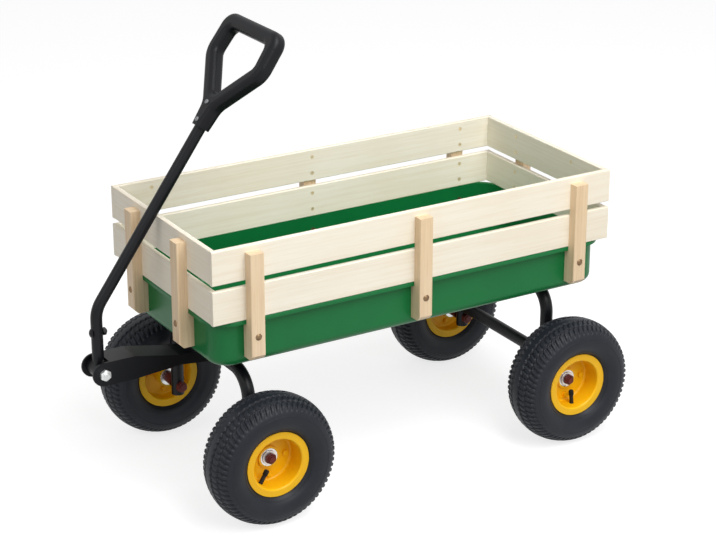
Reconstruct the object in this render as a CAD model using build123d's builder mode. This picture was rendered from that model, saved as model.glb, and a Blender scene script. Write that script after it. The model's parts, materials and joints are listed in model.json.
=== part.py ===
from build123d import *
import os
from math import cos, radians, sin, sqrt, tan

# Hand wagon: a pressed steel tray with wooden slats, on four pneumatic wheels. The front axle steers on
# a king pin, and a bent tube handle tilts on a bolt at the front of the tongue.
# Millimetres and degrees. +X points forward, +Y to the wagon's left and +Z up. The origin is on the
# ground, under the middle of the whole wagon.

# Bed: the wooden slats
box_length = 870.0
box_width = 416.0
slat_height = 65.0
slat_thickness = 10.5
slat_gap = 11.5
slat_edge_radius = 2.0
slat_end_gap = 0.4

# Bed: the steel tray
tray_floor_z = 307.5
tray_depth = 93.5
sheet_gauge = 1.2
tray_corner_radius = 42.0
tray_base_radius = 18.0
rim_depth = 8.0
rim_bend_radius = 3.0
bead_width = 24.0
bead_height = 4.0
bead_spacing = 62.0
bead_margin = 7.0
bead_draft = 40.0

# Stakes
stake_width = 28.0
stake_proud = 20.0
stake_top_drop = 12.0
stake_foot_drop = 75.0
stake_bevel = 9.0
stake_edge_radius = 2.0
stake_rim_gap = 1.0
side_stake_inset = 80.0
end_stake_spacing = 190.0

# Screws and bolts of the bed
screw_diameter = 4.0
screw_head_diameter = 8.0
screw_bite = 14.0
screw_spacing = 34.0
countersink_angle = 90.0
screw_slot_length = 4.8
screw_slot_width = 1.2
screw_slot_depth = 1.2
stake_bolt_diameter = 6.0
stake_bolt_drop = 29.0
round_head_ratio = 2.2
round_head_height_ratio = 0.5
nut_width_ratio = 1.6
nut_height_ratio = 0.8
bolt_end = 2.0
fastener_fit = 0.1

# Wheels
axle_inset = 98.0
track = 452.0
tyre_diameter = 254.0
tyre_width = 96.0
tread_gauge = 6.5
sidewall_gauge = 6.0
tyre_shoulder_drop = 11.0
tyre_shoulder_inset = 9.0
tyre_bead_width = 9.0
rim_flange_diameter = 128.0
rim_width = 70.0
bead_seat_diameter = 102.0
rim_gauge = 2.0
rim_corner_radius = 7.0
rim_edge_radius = 0.7
disc_offset = 8.0
wheel_fit = 0.2
hub_diameter = 42.0
hub_length = 35.0
hub_face_offset = 1.0
bearing_diameter = 35.0
bearing_width = 11.0
bearing_fit = 0.03
rim_bolt_circle = 70.0
rim_bolt_diameter = 6.0
rim_bolt_count = 4
inner_tube_gauge = 2.5
inner_tube_fit = 0.6
valve_diameter = 8.0
valve_length = 27.0
valve_offset = 12.0
valve_hole_fit = 0.6
valve_angles = {"front_left": -58.0, "front_right": 130.0, "rear_left": -95.0, "rear_right": 40.0}

# Axles
tube_diameter = 25.0
tube_wall = 2.0
front_arch_z = 262.0
leg_spacing = 300.0
arch_bend_radius = 50.0
leg_foot_z = 107.0
crossbar_z = 151.0
weld_gap = 0.1
axle_diameter = 15.0
axle_thread_diameter = 12.0
axle_shoulder_diameter = 22.0
axle_washer_diameter = 28.0
axle_washer_thickness = 2.5
running_clearance = 0.05
end_play = 0.3

# Bolsters
bolster_width = 56.0
bolster_flange = 22.0
bolster_length = 260.0
bolster_gauge = 3.0
bolster_bolt_diameter = 8.0
bolster_bolt_spacing = 190.0
rear_bolt_spacing = 120.0

# Steering
turntable_diameter = 110.0
turntable_gauge = 4.0
thrust_washer_diameter = 90.0
thrust_washer_thickness = 3.0
king_pin_diameter = 12.0
king_access_ratio = 2.5
tongue_gauge = 4.0
tongue_width = 54.0
tongue_rear_reach = 20.0
tongue_depth = 30.0
tongue_neck_depth = 20.0
tongue_neck_reach = 78.0
yoke_radius = 23.0
yoke_length = 62.0

# Handle
pivot_z = 270.0
pivot_bolt_diameter = 12.0
barrel_diameter = 30.0
handle_diameter = 22.0
handle_wall = 2.0
handle_lean = 35.5
handle_bend_radius = 60.0
shank_length = 118.0
handle_length = 585.0
rail_clearance = 8.0
stop_gap = 0.3
tube_foot_height = 18.0
stem_height = 96.0
stem_fit = 0.1
stem_bolt_height = 74.0
stem_bolt_diameter = 8.0

# D-grip, measured down from the middle of its crossbar
grip_width = 206.0
grip_bar = 29.0
grip_depth = 30.0
grip_side_drop = 72.0
grip_split_drop = 160.0
grip_neck_drop = 202.0
grip_split_width = 42.0
grip_neck_width = 32.0
grip_top_taper = 4.0
grip_edge_radius = 11.0
grip_corner_radius = 30.0
grip_side_radius = 46.0
grip_loop_radius = 14.0
socket_depth = 56.0
socket_fit = 0.1
grip_screw_diameter = 5.0
grip_screw_head_diameter = 9.0
grip_screw_head_height = 2.5
grip_screw_rounding = 1.5
grip_screw_drops = (155.0, 191.0)

# Worked out from the driving dimensions
slat_base_z = tray_floor_z + tray_depth
rail_top_z = slat_base_z + 2 * slat_height + slat_gap
side_face = box_width / 2
end_face = box_length / 2
tray_length = 2 * (end_face - slat_thickness)
tray_width = 2 * (side_face - slat_thickness)
tube_radius = tube_diameter / 2
handle_radius = handle_diameter / 2
wheelbase = box_length - 2 * axle_inset
side_stake_spacing = box_length / 2 - side_stake_inset
axle_z = tyre_diameter / 2
half_track = track / 2

# The handle leans back past the top edge of the front slats, and that sets how far out its pivot is
lean = radians(handle_lean)
rest_offset = handle_radius + rail_clearance
bend_z = pivot_z + shank_length
rail_pass_x = end_face + rest_offset * cos(lean)
rail_pass_z = rail_top_z + rest_offset * sin(lean)
pivot_reach = rail_pass_x + (rail_pass_z - bend_z) * tan(lean)

# The middle of the bed lies behind the middle of the whole wagon
front_reach = pivot_reach + yoke_radius
rear_reach = max((wheelbase + tyre_diameter) / 2, box_length / 2)
bed_x = (rear_reach - front_reach) / 2
front_axle_x = bed_x + wheelbase / 2
rear_axle_x = bed_x - wheelbase / 2
pivot_x = bed_x + pivot_reach

# Heights of the steering stack, from the front arch up to the tray floor. The rear arch is bolted up
# against the floor, with only a plate between them.
turntable_z = front_arch_z + tube_radius
thrust_washer_z = turntable_z + turntable_gauge
front_web_z = thrust_washer_z + thrust_washer_thickness
rear_arch_z = tray_floor_z - bolster_gauge - tube_radius

# Planes that face out of each side of the bed: x runs outward and y runs up
up = Vector(0, 0, 1)


def side_plane(x, y, z, outward):
    outward = Vector(*outward)
    return Plane(origin=(x, y, z), x_dir=outward, z_dir=outward.cross(up))


def facing(x, y, z, direction):
    return Plane(origin=(x, y, z), z_dir=Vector(*direction))


left = (0, 1, 0)
right = (0, -1, 0)
forward = (1, 0, 0)
backward = (-1, 0, 0)
down = (0, 0, -1)

side_stake_xs = [bed_x - side_stake_spacing, bed_x, bed_x + side_stake_spacing]
end_stake_ys = [-end_stake_spacing / 2, end_stake_spacing / 2]
stake_places = {
    "left": [(x, side_face, left) for x in side_stake_xs],
    "right": [(x, -side_face, right) for x in side_stake_xs],
    "front": [(bed_x + end_face, y, forward) for y in end_stake_ys],
    "rear": [(bed_x - end_face, y, backward) for y in end_stake_ys],
}
slat_centres_z = {
    "lower": slat_base_z + slat_height / 2,
    "upper": slat_base_z + slat_height + slat_gap + slat_height / 2,
}


def step_inward(place, depth):
    """The point that lies depth behind a stake's place, towards the middle of the bed."""
    x, y, outward = place
    return x - depth * outward[0], y - depth * outward[1]


def save(piece, name):
    piece.label = name
    os.makedirs("parts", exist_ok=True)
    export_step(piece, f"parts/{name}.step")


# Fasteners, each made once with its seat on the XY plane and its head above it


def hex_bolt(diameter, length):
    with BuildPart() as bolt:
        with BuildSketch():
            RegularPolygon(nut_width_ratio * diameter / 2, 6, major_radius=False)
        extrude(amount=nut_height_ratio * diameter)
        with BuildSketch():
            Circle(diameter / 2)
        extrude(amount=-length)
    return bolt.part


def round_bolt(diameter, length):
    shank_radius = diameter / 2
    head_radius = round_head_ratio * shank_radius
    head_height = round_head_height_ratio * diameter
    with BuildPart() as bolt:
        with BuildSketch(Plane.XZ):
            with BuildLine():
                TangentArc((0, head_height), (head_radius, 0), tangent=(1, 0))
                Polyline(
                    (0, head_height),
                    (0, -length),
                    (shank_radius, -length),
                    (shank_radius, 0),
                    (head_radius, 0),
                )
            make_face()
        revolve(axis=Axis.Z)
    return bolt.part


def hex_nut(diameter):
    with BuildPart() as nut:
        with BuildSketch():
            RegularPolygon(nut_width_ratio * diameter / 2, 6, major_radius=False)
            Circle(diameter / 2 + fastener_fit, mode=Mode.SUBTRACT)
        extrude(amount=nut_height_ratio * diameter)
    return nut.part


# Tray: a shell with a rim folded outward and down, raised beads in the floor, holes for its bolts and a
# wider one that lets a socket down onto the king pin's head
wall_bolt_z = slat_base_z - stake_bolt_drop
bolster_reach = bolster_width / 2 + bolster_flange
bead_length = wheelbase - 2 * bolster_reach - 2 * bead_margin
bolster_bolt_x = bolster_width / 2 + bolster_flange / 2
bolster_bolt_points = [
    (axle_x + dx, dy)
    for axle_x in (front_axle_x, rear_axle_x)
    for dx in (-bolster_bolt_x, bolster_bolt_x)
    for dy in (-bolster_bolt_spacing / 2, bolster_bolt_spacing / 2)
]
rear_bolt_points = [(rear_axle_x, -rear_bolt_spacing / 2), (rear_axle_x, rear_bolt_spacing / 2)]
floor_bolt_points = bolster_bolt_points + rear_bolt_points
rim_length = tray_length + 2 * slat_thickness
rim_width_over = tray_width + 2 * slat_thickness
rim_radius = tray_corner_radius + slat_thickness
lip_length = rim_length - 2 * sheet_gauge
lip_width = rim_width_over - 2 * sheet_gauge

with BuildPart() as tray:
    with BuildSketch(Plane.XY.offset(tray_floor_z)):
        with Locations((bed_x, 0)):
            RectangleRounded(tray_length, tray_width, tray_corner_radius)
    extrude(amount=tray_depth)
    fillet(tray.edges().group_by(Axis.Z)[0], tray_base_radius)
    offset(amount=-sheet_gauge, openings=tray.faces().sort_by(Axis.Z)[-1])
    with BuildSketch(Plane.XY.offset(slat_base_z - rim_depth)):
        with Locations((bed_x, 0)):
            RectangleRounded(rim_length, rim_width_over, rim_radius)
            RectangleRounded(tray_length, tray_width, tray_corner_radius, mode=Mode.SUBTRACT)
    extrude(amount=rim_depth)
    rim_top = tray.faces().sort_by(Axis.Z)[-1]
    fillet(rim_top.outer_wire().edges(), rim_bend_radius)
    with BuildSketch(Plane.XY.offset(slat_base_z - rim_depth)):
        with Locations((bed_x, 0)):
            RectangleRounded(lip_length, lip_width, rim_radius - sheet_gauge)
            RectangleRounded(tray_length, tray_width, tray_corner_radius, mode=Mode.SUBTRACT)
    extrude(amount=rim_depth - rim_bend_radius, mode=Mode.SUBTRACT)
    with BuildSketch(Plane.XY.offset(slat_base_z - rim_bend_radius)):
        with Locations((bed_x, 0)):
            RectangleRounded(
                rim_length - 2 * rim_bend_radius,
                rim_width_over - 2 * rim_bend_radius,
                rim_radius - rim_bend_radius,
            )
            RectangleRounded(tray_length, tray_width, tray_corner_radius, mode=Mode.SUBTRACT)
    extrude(amount=rim_bend_radius - sheet_gauge, mode=Mode.SUBTRACT)
    bead_places = [(bed_x, -bead_spacing), (bed_x, 0), (bed_x, bead_spacing)]
    with BuildSketch(Plane.XY.offset(tray_floor_z)):
        with Locations(*bead_places):
            SlotOverall(bead_length, bead_width)
    extrude(amount=sheet_gauge + bead_height, taper=bead_draft)
    with BuildSketch(Plane.XY.offset(tray_floor_z)):
        with Locations(*bead_places):
            SlotOverall(bead_length - 2 * sheet_gauge, bead_width - 2 * sheet_gauge)
    extrude(amount=bead_height, taper=bead_draft, mode=Mode.SUBTRACT)
    with Locations(*[(x, y, tray_floor_z + sheet_gauge) for x, y in floor_bolt_points]):
        Hole(bolster_bolt_diameter / 2 + fastener_fit, depth=2 * sheet_gauge)
    with Locations((front_axle_x, 0, tray_floor_z + sheet_gauge)):
        Hole(king_access_ratio * king_pin_diameter / 2, depth=2 * sheet_gauge)
    for places in stake_places.values():
        for place in places:
            x, y = step_inward(place, slat_thickness)
            with Locations(facing(x, y, wall_bolt_z, place[2])):
                Hole(stake_bolt_diameter / 2 + fastener_fit, depth=2 * sheet_gauge)
save(tray.part, "tray")

# Slats: two boards on each side. The end boards fit between the side boards.
screw_rows = (-screw_spacing / 2, screw_spacing / 2)
screw_cone_depth = (screw_head_diameter - screw_diameter) / 2 / tan(radians(countersink_angle / 2))
side_names = {"left": left, "right": right, "front": forward, "rear": backward}
slat_screw_seats = []

for side, outward in side_names.items():
    for level, centre_z in slat_centres_z.items():
        along_x = outward[0] == 0
        board_length = box_length if along_x else box_width - 2 * slat_thickness - 2 * slat_end_gap
        face = side_face if along_x else end_face
        middle = face - slat_thickness / 2
        with BuildPart() as slat:
            with Locations((bed_x + middle * outward[0], middle * outward[1], centre_z)):
                if along_x:
                    Box(board_length, slat_thickness, slat_height)
                else:
                    Box(slat_thickness, board_length, slat_height)
            fillet(slat.edges().filter_by(Axis.X if along_x else Axis.Y), slat_edge_radius)
            for place in stake_places[side]:
                x, y = step_inward(place, slat_thickness)
                inward = (-outward[0], -outward[1], 0)
                for row in screw_rows:
                    seat = facing(x, y, centre_z + row, inward)
                    slat_screw_seats.append(seat)
                    with Locations(seat):
                        CounterSinkHole(
                            screw_diameter / 2 + fastener_fit,
                            screw_head_diameter / 2 + fastener_fit,
                            depth=2 * slat_thickness,
                            counter_sink_angle=countersink_angle,
                        )
        save(slat.part, f"slat_{side}_{level}")

# Stakes: each one stands against its slats, and its foot reaches in under the rim to the tray wall
stake_top = rail_top_z - stake_top_drop
stake_foot = slat_base_z - stake_foot_drop
stake_step = slat_base_z - rim_depth - stake_rim_gap

for side, places in stake_places.items():
    with BuildPart() as stakes:
        for x, y, outward in places:
            with BuildSketch(side_plane(x, y, 0, outward)):
                with BuildLine():
                    Polyline(
                        (0, stake_step),
                        (0, stake_top),
                        (stake_proud, stake_top),
                        (stake_proud, stake_foot + stake_bevel),
                        (stake_proud - stake_bevel, stake_foot),
                        (-slat_thickness, stake_foot),
                        (-slat_thickness, stake_step),
                        close=True,
                    )
                make_face()
            extrude(amount=stake_width / 2, both=True)
        upright_edges = stakes.edges().filter_by(Axis.Z)
        fillet(upright_edges.group_by(Axis((0, 0, 0), side_names[side]))[-1], stake_edge_radius)
        for place in places:
            x, y, outward = place
            head_x, head_y = step_inward(place, -stake_proud)
            with Locations(facing(head_x, head_y, wall_bolt_z, outward)):
                Hole(stake_bolt_diameter / 2 + fastener_fit, depth=stake_proud + 2 * slat_thickness)
            for centre_z in slat_centres_z.values():
                for row in screw_rows:
                    with Locations(facing(x, y, centre_z + row, (-outward[0], -outward[1], 0))):
                        Hole(screw_diameter / 2 + fastener_fit, depth=screw_bite)
    save(stakes.part, f"stakes_{side}")

# Countersunk wood screws, driven from inside the bed through the slats into the stakes
screw_length = slat_thickness + screw_bite - bolt_end
with BuildPart() as wood_screw:
    with BuildSketch(Plane.XZ):
        with BuildLine():
            Polyline(
                (0, 0),
                (screw_head_diameter / 2, 0),
                (screw_diameter / 2, -screw_cone_depth),
                (screw_diameter / 2, -screw_length + screw_diameter),
                (0, -screw_length),
                close=True,
            )
        make_face()
    revolve(axis=Axis.Z)
    with BuildSketch():
        Rectangle(screw_slot_length, screw_slot_width)
        Rectangle(screw_slot_width, screw_slot_length)
    extrude(amount=-screw_slot_depth, mode=Mode.SUBTRACT)

with BuildPart() as slat_screws:
    with Locations(*slat_screw_seats):
        add(wood_screw.part)
save(slat_screws.part, "slat_screws")

# Round-head bolts through the stakes and the tray wall, with nuts inside the tray
stake_bolt_grip = stake_proud + slat_thickness + sheet_gauge
stake_nut_height = nut_height_ratio * stake_bolt_diameter
stake_bolt = round_bolt(stake_bolt_diameter, stake_bolt_grip + stake_nut_height + bolt_end)
stake_nut = hex_nut(stake_bolt_diameter)
with BuildPart() as stake_bolts:
    for places in stake_places.values():
        for place in places:
            outward = place[2]
            head_x, head_y = step_inward(place, -stake_proud)
            nut_x, nut_y = step_inward(place, slat_thickness + sheet_gauge)
            with Locations(facing(head_x, head_y, wall_bolt_z, outward)):
                add(stake_bolt)
            with Locations(facing(nut_x, nut_y, wall_bolt_z, (-outward[0], -outward[1], 0))):
                add(stake_nut)
save(stake_bolts.part, "stake_bolts")


# Bolsters under the tray floor: a hat-section channel over the turntable, and a plate over the rear arch
front_bolster_height = tray_floor_z - front_web_z
front_bolt_points = [(x, y) for x, y in bolster_bolt_points if x > bed_x]
rear_plate_points = [(x, y) for x, y in floor_bolt_points if x < bed_x]
with BuildPart() as front_bolster:
    with BuildSketch(Plane.XZ):
        with Locations((front_axle_x, front_web_z)):
            Rectangle(bolster_width, front_bolster_height, align=(Align.CENTER, Align.MIN))
            with Locations((0, bolster_gauge)):
                Rectangle(
                    bolster_width - 2 * bolster_gauge,
                    front_bolster_height,
                    align=(Align.CENTER, Align.MIN),
                    mode=Mode.SUBTRACT,
                )
            flange_ends = (-bolster_width / 2, bolster_width / 2 + bolster_flange)
            with Locations(*[(flange_end, front_bolster_height) for flange_end in flange_ends]):
                Rectangle(bolster_flange, bolster_gauge, align=(Align.MAX, Align.MAX))
    extrude(amount=bolster_length / 2, both=True)
    with Locations((front_axle_x, 0, front_web_z + bolster_gauge)):
        Hole(king_pin_diameter / 2 + fastener_fit, depth=2 * bolster_gauge)
    with Locations(*[(x, y, tray_floor_z) for x, y in front_bolt_points]):
        Hole(bolster_bolt_diameter / 2 + fastener_fit, depth=2 * bolster_gauge)
save(front_bolster.part, "front_bolster")

with BuildPart() as rear_bolster:
    with BuildSketch(Plane.XY.offset(tray_floor_z)):
        with Locations((rear_axle_x, 0)):
            Rectangle(2 * bolster_reach, bolster_length)
        with Locations(*rear_plate_points):
            Circle(bolster_bolt_diameter / 2 + fastener_fit, mode=Mode.SUBTRACT)
    extrude(amount=-bolster_gauge)
save(rear_bolster.part, "rear_bolster")

bolster_nut_height = nut_height_ratio * bolster_bolt_diameter
tray_bolt = round_bolt(bolster_bolt_diameter, sheet_gauge + bolster_gauge + bolster_nut_height + bolt_end)
bolster_nut = hex_nut(bolster_bolt_diameter)
with BuildPart() as bolster_bolts:
    with Locations(*[(x, y, tray_floor_z + sheet_gauge) for x, y in bolster_bolt_points]):
        add(tray_bolt)
    with Locations(*[facing(x, y, tray_floor_z - bolster_gauge, down) for x, y in bolster_bolt_points]):
        add(bolster_nut)
save(bolster_bolts.part, "bolster_bolts")


# Axle arches: bent tubes with a level run under the bolster and a leg down to each wheel


def axle_arch(name, axle_x, top_z, hole_diameter, hole_ys, hole_clearance):
    half = leg_spacing / 2
    with BuildPart() as arch:
        with BuildLine(Plane.YZ.offset(axle_x)):
            route = FilletPolyline(
                (-half, leg_foot_z),
                (-half, top_z),
                (half, top_z),
                (half, leg_foot_z),
                radius=arch_bend_radius,
            )
        with BuildSketch(Plane(origin=route @ 0, z_dir=route % 0)):
            Circle(tube_radius)
            Circle(tube_radius - tube_wall, mode=Mode.SUBTRACT)
        sweep(path=route)
        with Locations(*[(axle_x, y, top_z + tube_radius) for y in hole_ys]):
            Hole(hole_diameter / 2 + hole_clearance, depth=2 * tube_diameter)
        for side in (left, right):
            with Locations(facing(axle_x, side[1] * (half + tube_radius), axle_z, side)):
                Hole(axle_thread_diameter / 2 + fastener_fit, depth=2 * tube_diameter)
    save(arch.part, name)


rear_bolt_ys = [y for x, y in rear_bolt_points]
axle_arch("front_axle_arch", front_axle_x, front_arch_z, king_pin_diameter, (0,), running_clearance)
axle_arch("rear_axle_arch", rear_axle_x, rear_arch_z, bolster_bolt_diameter, rear_bolt_ys, fastener_fit)

with BuildPart() as crossbar:
    with BuildSketch(Plane(origin=(rear_axle_x, 0, crossbar_z), z_dir=left)):
        Circle(tube_radius)
        Circle(tube_radius - tube_wall, mode=Mode.SUBTRACT)
    extrude(amount=leg_spacing / 2, both=True)
    with BuildSketch(Plane.XY.offset(leg_foot_z)):
        with Locations((rear_axle_x, -leg_spacing / 2), (rear_axle_x, leg_spacing / 2)):
            Circle(tube_radius + weld_gap)
    extrude(amount=rear_arch_z - leg_foot_z, mode=Mode.SUBTRACT)
save(crossbar.part, "rear_axle_crossbar")

rear_bolt_grip = sheet_gauge + bolster_gauge + tube_diameter
rear_bolt = round_bolt(bolster_bolt_diameter, rear_bolt_grip + bolster_nut_height + bolt_end)
with BuildPart() as rear_axle_bolts:
    with Locations(*[(x, y, tray_floor_z + sheet_gauge) for x, y in rear_bolt_points]):
        add(rear_bolt)
    with Locations(*[facing(x, y, rear_arch_z - tube_radius, down) for x, y in rear_bolt_points]):
        add(bolster_nut)
save(rear_axle_bolts.part, "rear_axle_bolts")

# Stub axles: bolted through the legs, with a shoulder between the leg and the hub
leg_face = leg_spacing / 2 + tube_radius
hub_inner_face = half_track - hub_face_offset - hub_length
hub_outer_face = half_track - hub_face_offset
axle_nut_height = nut_height_ratio * axle_thread_diameter
washer_face = hub_outer_face + end_play
nut_face = washer_face + axle_washer_thickness
axle_tip = nut_face + axle_nut_height + bolt_end
axle_root = leg_spacing / 2 - tube_radius - axle_nut_height - bolt_end


def wheel_side(axle_x, side, distance):
    """A plane across the wheel axis, at a distance from the wagon's middle, that faces outward."""
    return facing(axle_x, side[1] * distance, axle_z, side)


def stub_axles(name, axle_x):
    with BuildPart() as axles:
        for side in (left, right):
            with BuildSketch(wheel_side(axle_x, side, axle_root)):
                Circle(axle_thread_diameter / 2)
            extrude(amount=axle_tip - axle_root)
            with BuildSketch(wheel_side(axle_x, side, leg_face)):
                Circle(axle_shoulder_diameter / 2)
            extrude(amount=hub_inner_face - end_play - leg_face)
            with BuildSketch(wheel_side(axle_x, side, leg_face)):
                Circle(axle_diameter / 2)
            extrude(amount=washer_face - leg_face)
    save(axles.part, name)


axle_nut = hex_nut(axle_thread_diameter)


def axle_nuts(name, axle_x):
    with BuildPart() as nuts:
        for side in (left, right):
            inward = (0, -side[1], 0)
            with BuildSketch(wheel_side(axle_x, side, washer_face)):
                Circle(axle_washer_diameter / 2)
                Circle(axle_thread_diameter / 2 + fastener_fit, mode=Mode.SUBTRACT)
            extrude(amount=axle_washer_thickness)
            with Locations(wheel_side(axle_x, side, nut_face + weld_gap)):
                add(axle_nut)
            with Locations(facing(axle_x, side[1] * (leg_spacing / 2 - tube_radius), axle_z, inward)):
                add(axle_nut)
    save(nuts.part, name)


for axle_name, axle_x in (("front", front_axle_x), ("rear", rear_axle_x)):
    stub_axles(f"{axle_name}_stub_axles", axle_x)
    axle_nuts(f"{axle_name}_axle_nuts", axle_x)

# Steering: turntable plate on the arch, a plastic thrust washer and the king pin
with BuildPart() as turntable_plate:
    with BuildSketch(Plane.XY.offset(turntable_z)):
        with Locations((front_axle_x, 0)):
            Circle(turntable_diameter / 2)
            Circle(king_pin_diameter / 2 + running_clearance, mode=Mode.SUBTRACT)
    extrude(amount=turntable_gauge)
save(turntable_plate.part, "turntable_plate")

with BuildPart() as thrust_washer:
    with BuildSketch(Plane.XY.offset(thrust_washer_z)):
        with Locations((front_axle_x, 0)):
            Circle(thrust_washer_diameter / 2)
            Circle(king_pin_diameter / 2 + running_clearance, mode=Mode.SUBTRACT)
    extrude(amount=thrust_washer_thickness)
save(thrust_washer.part, "thrust_washer")

king_nut_z = front_arch_z - tube_radius - end_play
king_pin_length = front_web_z + bolster_gauge - king_nut_z + nut_height_ratio * king_pin_diameter + bolt_end
with BuildPart() as king_pin:
    with Locations((front_axle_x, 0, front_web_z + bolster_gauge)):
        add(hex_bolt(king_pin_diameter, king_pin_length))
    with Locations(facing(front_axle_x, 0, king_nut_z, down)):
        add(hex_nut(king_pin_diameter))
save(king_pin.part, "king_pin")

# Tongue: a folded channel, open below. Its top sheet ends at the handle and stops it from falling back.
tongue_top = turntable_z
tongue_bottom = tongue_top - tongue_depth
yoke_top = pivot_z + yoke_radius
yoke_bottom = pivot_z - yoke_radius
tongue_rear_x = front_axle_x - tongue_rear_reach
tongue_neck_x = front_axle_x + tongue_neck_reach
yoke_x = pivot_x - yoke_length
stop_x = pivot_x - handle_radius - stop_gap
tongue_inside = tongue_width - 2 * tongue_gauge
web_start_x = front_axle_x + tube_radius + tongue_gauge
over = 2 * tongue_width

with BuildPart() as tongue:
    with BuildSketch(Plane.XZ):
        with BuildLine():
            Polyline(
                (pivot_x, yoke_bottom),
                (yoke_x, yoke_bottom),
                (tongue_neck_x, tongue_top - tongue_neck_depth),
                (tongue_rear_x, tongue_bottom),
                (tongue_rear_x, tongue_top),
                (tongue_neck_x, tongue_top),
                (yoke_x, yoke_top),
                (pivot_x, yoke_top),
            )
            ThreePointArc((pivot_x, yoke_top), (pivot_x + yoke_radius, pivot_z), (pivot_x, yoke_bottom))
        make_face()
    extrude(amount=tongue_width / 2, both=True)
    with BuildSketch(Plane.XZ):
        with BuildLine():
            Polyline(
                (web_start_x, tongue_bottom - over),
                (web_start_x, tongue_top - tongue_gauge),
                (tongue_neck_x, tongue_top - tongue_gauge),
                (yoke_x, yoke_top - tongue_gauge),
                (stop_x, yoke_top - tongue_gauge),
                (stop_x, tongue_bottom - over),
                close=True,
            )
        make_face()
        with Locations((web_start_x, pivot_z)):
            Rectangle(over, over, align=(Align.MAX, Align.CENTER))
        with Locations((stop_x, pivot_z)):
            Rectangle(over, over, align=(Align.MIN, Align.CENTER))
    extrude(amount=tongue_inside / 2, both=True, mode=Mode.SUBTRACT)
    with BuildSketch(Plane.XZ):
        with Locations((front_axle_x, front_arch_z)):
            Circle(tube_radius + weld_gap)
        with Locations((pivot_x, pivot_z)):
            Circle(pivot_bolt_diameter / 2 + fastener_fit)
    extrude(amount=tongue_width, both=True, mode=Mode.SUBTRACT)
save(tongue.part, "tongue")

pivot_nut_height = nut_height_ratio * pivot_bolt_diameter
with BuildPart() as pivot_bolt:
    with Locations(facing(pivot_x, -tongue_width / 2, pivot_z, right)):
        add(hex_bolt(pivot_bolt_diameter, tongue_width + pivot_nut_height + bolt_end))
    with Locations(facing(pivot_x, tongue_width / 2, pivot_z, left)):
        add(hex_nut(pivot_bolt_diameter))
save(pivot_bolt.part, "pivot_bolt")

# Handle: a barrel on the pivot bolt, its stem inside the bent tube, and the tube itself
stem_radius = handle_radius - handle_wall - stem_fit
stem_bolt_z = pivot_z + stem_bolt_height
tube_foot_z = pivot_z + tube_foot_height
bend_point = Vector(pivot_x, 0, bend_z)
along = Vector(-sin(lean), 0, cos(lean))
front_normal = Vector(cos(lean), 0, sin(lean))
grip_plane = Plane(origin=bend_point, x_dir=left, z_dir=front_normal)
neck_mark = handle_length - grip_neck_drop
tube_end_mark = neck_mark + socket_depth - end_play
stem_bolt_seat = facing(pivot_x + handle_radius, 0, stem_bolt_z, forward)
stem_bolt_hole = stem_bolt_diameter / 2 + fastener_fit
grip_screw_marks = [handle_length - drop for drop in grip_screw_drops]
grip_screw_seats = [
    Plane(origin=bend_point + along * mark + front_normal * (grip_depth / 2), z_dir=front_normal)
    for mark in grip_screw_marks
]
grip_screw_length = grip_depth / 2 - handle_radius + handle_wall + bolt_end

with BuildPart() as pivot_stem:
    with BuildSketch(Plane.XZ):
        with Locations((pivot_x, pivot_z)):
            Circle(barrel_diameter / 2)
    extrude(amount=tongue_inside / 2 - end_play, both=True)
    with BuildSketch(Plane.XY.offset(pivot_z)):
        with Locations((pivot_x, 0)):
            Circle(stem_radius)
    extrude(amount=stem_height)
    with BuildSketch(Plane.XZ):
        with Locations((pivot_x, pivot_z)):
            Circle(pivot_bolt_diameter / 2 + running_clearance)
    extrude(amount=tongue_width, both=True, mode=Mode.SUBTRACT)
    with Locations(stem_bolt_seat):
        Hole(stem_bolt_hole, depth=2 * handle_diameter)
save(pivot_stem.part, "pivot_stem")

with BuildPart() as handle_tube:
    with BuildLine():
        handle_route = FilletPolyline(
            (pivot_x, 0, tube_foot_z),
            bend_point,
            bend_point + along * tube_end_mark,
            radius=handle_bend_radius,
        )
    with BuildSketch(Plane.XY.offset(tube_foot_z)):
        with Locations((pivot_x, 0)):
            Circle(handle_radius)
            Circle(handle_radius - handle_wall, mode=Mode.SUBTRACT)
    sweep(path=handle_route)
    with Locations(stem_bolt_seat):
        Hole(stem_bolt_hole, depth=2 * handle_diameter)
    with Locations(*grip_screw_seats):
        Hole(grip_screw_diameter / 2 + fastener_fit, depth=grip_depth / 2)
save(handle_tube.part, "handle_tube")

stem_nut_height = nut_height_ratio * stem_bolt_diameter
with BuildPart() as stem_bolt:
    with Locations(stem_bolt_seat):
        add(round_bolt(stem_bolt_diameter, handle_diameter + stem_nut_height + bolt_end))
    with Locations(facing(pivot_x - handle_radius, 0, stem_bolt_z, backward)):
        add(hex_nut(stem_bolt_diameter))
save(stem_bolt.part, "stem_bolt")

# D-grip: drawn flat in the plane of the handle, with a loop for the hand and a socket for the tube
half_grip = grip_width / 2
half_top = half_grip - grip_top_taper
top_mark = handle_length + grip_bar / 2
side_mark = handle_length - grip_side_drop
split_mark = handle_length - grip_split_drop
loop_top = handle_length - grip_bar / 2
arm = Vector(half_grip - grip_split_width / 2, side_mark - split_mark)
loop_apex = split_mark - (grip_split_width / 2) * arm.Y / arm.X + grip_bar * arm.length / arm.X
loop_half = half_grip - grip_bar
loop_side = loop_apex + loop_half * arm.Y / arm.X
half_corners = [grip_corner_radius, grip_side_radius, grip_corner_radius]
grip_corners = half_corners + half_corners[::-1]

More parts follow.
